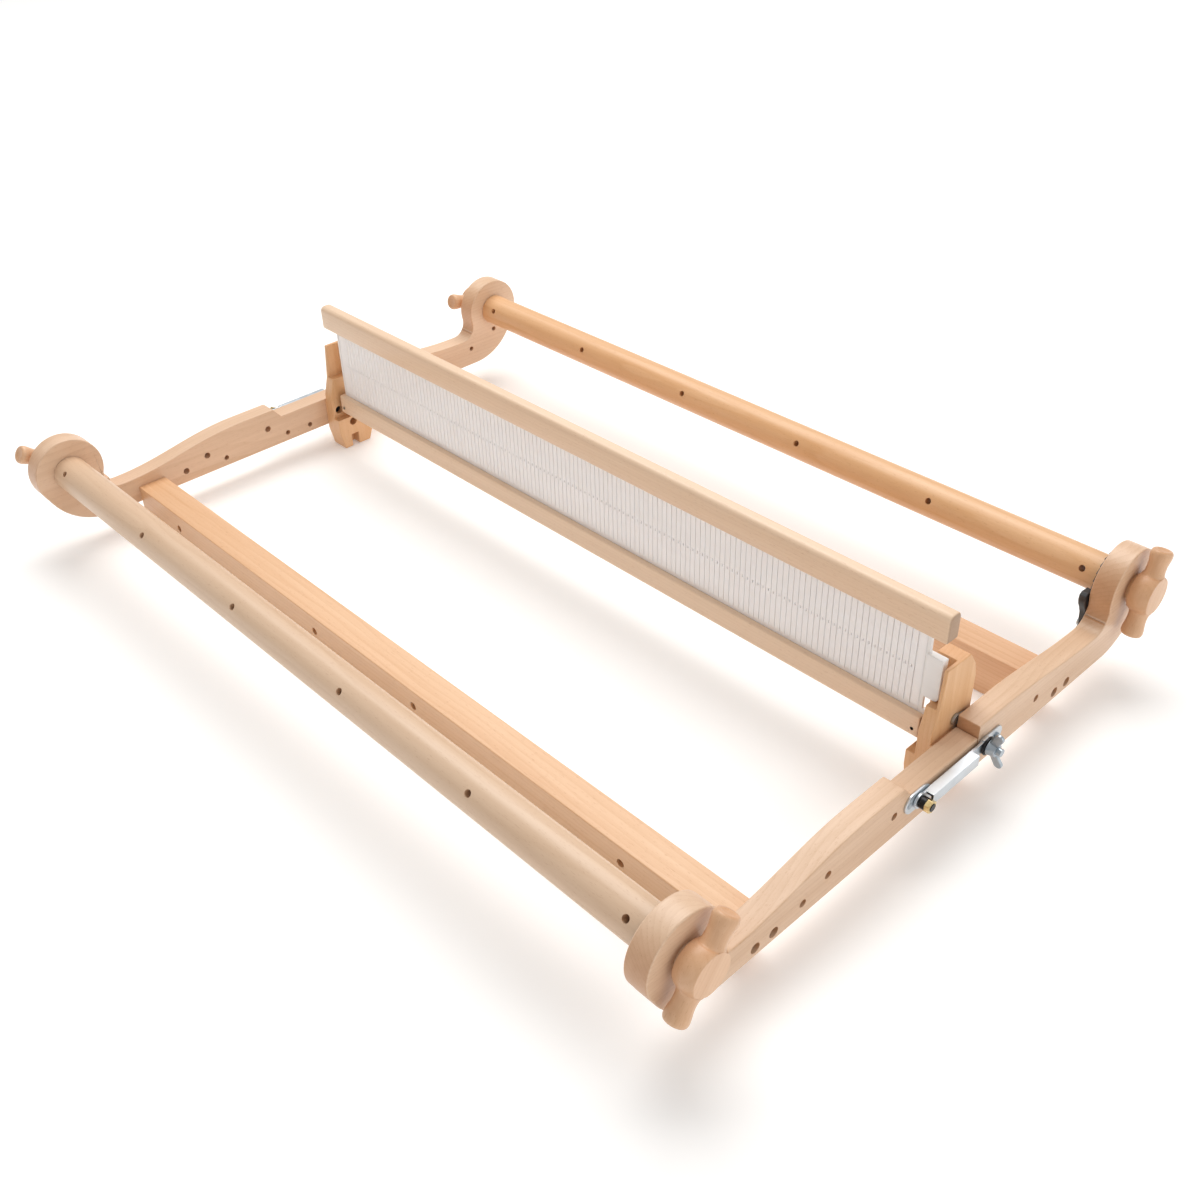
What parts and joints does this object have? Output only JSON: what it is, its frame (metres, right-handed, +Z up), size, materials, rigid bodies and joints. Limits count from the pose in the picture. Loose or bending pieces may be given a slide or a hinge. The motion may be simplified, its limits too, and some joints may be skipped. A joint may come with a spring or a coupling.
{
  "type": "loom",
  "caption": "Folding beech table loom with a rigid heddle on notched side blocks, a roller with ratchet and handles at each end, and side latches that lock it flat.",
  "frame": {"origin": "middle of the base: on the plane the loom stands on, midway along the rollers and midway between the frontmost and rearmost points", "axes": "+X along the rollers towards the ratchet side (the weaver's right), +Y from the weaver's side to the back, +Z up"},
  "size_m": [0.8106, 0.5593, 0.15],
  "materials": {
    "beech_side": "clear satin lacquer on beech",
    "beech_cross_rail": "clear satin lacquer on beech",
    "beech_roller": "clear satin lacquer on turned beech",
    "beech_handle": "clear satin lacquer on turned beech",
    "beech_block": "clear satin lacquer on beech",
    "beech_heddle": "clear satin lacquer on beech",
    "reed_plastic": "slightly translucent off-white",
    "white_plastic": "moulded, satin gloss",
    "black_plastic": "moulded, satin",
    "black_steel": "black oxide",
    "zinc": "zinc plated",
    "brass": "lightly worn"
  },
  "bodies": {
    "front_half": {"left_front_side": "beech_side", "right_front_side": "beech_side", "front_cross_rail": "beech_cross_rail", "left_heddle_block": "beech_block", "right_heddle_block": "beech_block", "heddle_block_screws": "zinc", "hinge_pins": "zinc", "front_cross_rail_screws": "zinc", "latch_base_plates": "zinc", "latch_base_screws": "zinc", "latch_pivot_pins": "black_steel", "latch_pivot_nuts": "brass", "front_pawl_screw": "zinc"},
    "back_half": {"left_back_side": "beech_side", "right_back_side": "beech_side", "rear_cross_rail": "beech_cross_rail", "rear_cross_rail_screws": "zinc", "left_hinge_plate": "zinc", "right_hinge_plate": "zinc", "hinge_plate_screws": "zinc", "latch_anchor_plates": "zinc", "latch_anchor_screws": "zinc", "clamp_studs": "zinc", "clamp_washers": "black_steel", "rear_pawl_screw": "zinc"},
    "front_roller_unit": {"front_roller": "beech_roller", "left_front_handle": "beech_handle", "right_front_handle": "beech_handle", "front_ratchet_wheel": "black_plastic"},
    "rear_roller_unit": {"rear_roller": "beech_roller", "left_rear_handle": "beech_handle", "right_rear_handle": "beech_handle", "rear_ratchet_wheel": "black_plastic"},
    "front_pawl": {"front_pawl": "black_plastic"},
    "rear_pawl": {"rear_pawl": "black_plastic"},
    "left_latch": {"left_latch_bar": "zinc"},
    "right_latch": {"right_latch_bar": "zinc"},
    "left_wing_nut": {"left_wing_nut": "zinc"},
    "right_wing_nut": {"right_wing_nut": "zinc"},
    "heddle": {"heddle_top_bar": "beech_heddle", "heddle_bottom_bar": "beech_heddle", "heddle_reed": "reed_plastic", "left_heddle_end": "white_plastic", "right_heddle_end": "white_plastic", "heddle_end_pins": "zinc"}
  },
  "joints": [
    {"name": "fold", "type": "hinge", "parent": "front_half", "child": "back_half", "pos_m": [0, 0.0447, 0.0565], "axis": [1, 0, 0], "range_deg": [0, 165]},
    {"name": "front_roller_turn", "type": "hinge", "parent": "front_half", "child": "front_roller_unit", "pos_m": [0, -0.2466, 0.077], "axis": [1, 0, 0], "continuous": true},
    {"name": "rear_roller_turn", "type": "hinge", "parent": "back_half", "child": "rear_roller_unit", "pos_m": [0, 0.244, 0.077], "axis": [1, 0, 0], "continuous": true},
    {"name": "front_pawl_lift", "type": "hinge", "parent": "front_half", "child": "front_pawl", "pos_m": [0.3642, -0.2271, 0.042], "axis": [-1, 0, 0], "range_deg": [0, 25]},
    {"name": "rear_pawl_lift", "type": "hinge", "parent": "back_half", "child": "rear_pawl", "pos_m": [0.3642, 0.2245, 0.042], "axis": [1, 0, 0], "range_deg": [0, 25]},
    {"name": "left_latch_swing", "type": "hinge", "parent": "front_half", "child": "left_latch", "pos_m": [-0.389, -0.0253, 0.043], "axis": [1, 0, 0], "range_deg": [0, 110]},
    {"name": "right_latch_swing", "type": "hinge", "parent": "front_half", "child": "right_latch", "pos_m": [0.389, -0.0253, 0.043], "axis": [1, 0, 0], "range_deg": [0, 110]},
    {"name": "left_wing_nut_turn", "type": "hinge", "parent": "back_half", "child": "left_wing_nut", "pos_m": [-0.396, 0.0512, 0.043], "axis": [1, 0, 0], "continuous": true},
    {"name": "right_wing_nut_turn", "type": "hinge", "parent": "back_half", "child": "right_wing_nut", "pos_m": [0.396, 0.0512, 0.043], "axis": [1, 0, 0], "continuous": true},
    {"name": "heddle_lift", "type": "slide", "parent": "front_half", "child": "heddle", "axis": [0, 0, 1], "range_m": [0, 0.12]}
  ]
}
